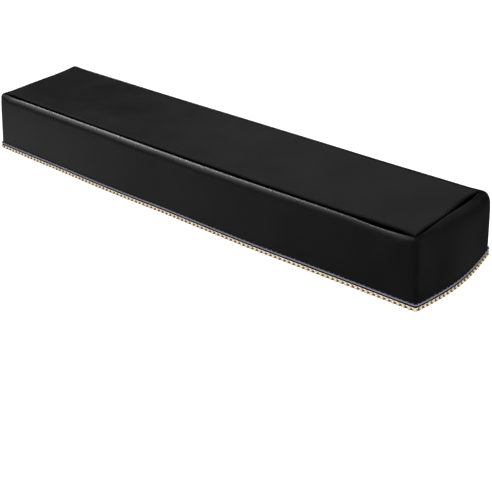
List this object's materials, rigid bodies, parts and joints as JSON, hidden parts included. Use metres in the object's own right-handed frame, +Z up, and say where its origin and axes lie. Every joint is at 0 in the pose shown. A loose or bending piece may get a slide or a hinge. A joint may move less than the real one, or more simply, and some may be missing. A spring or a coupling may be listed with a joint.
{
  "type": "piano keyboard cover",
  "caption": "Fitted black cloth cover for a slab keyboard: a top and side panels, open underneath, with a silver and gold trim round the hem.",
  "frame": {"origin": "middle of the top panel's underside, where the keyboard inside carries the cover", "axes": "+X along the length to the right end, +Y from the front to the back, +Z up"},
  "size_m": [1.4076, 0.3133, 0.1667],
  "materials": {
    "black_cloth": "smooth black stretch cloth with a soft sheen",
    "black_band": "matt black woven band",
    "silver_yarn": "thin braid of silver metallic yarn",
    "gold_yarn": "cord of gold metallic yarn in small oval lobes"
  },
  "bodies": {
    "root": {"top_panel": "black_cloth", "front_panel": "black_cloth", "right_end_panel": "black_cloth", "back_panel": "black_cloth", "left_end_panel": "black_cloth", "trim_band": "black_band", "silver_braid": "silver_yarn", "gold_cord": "gold_yarn"}
  },
  "joints": []
}
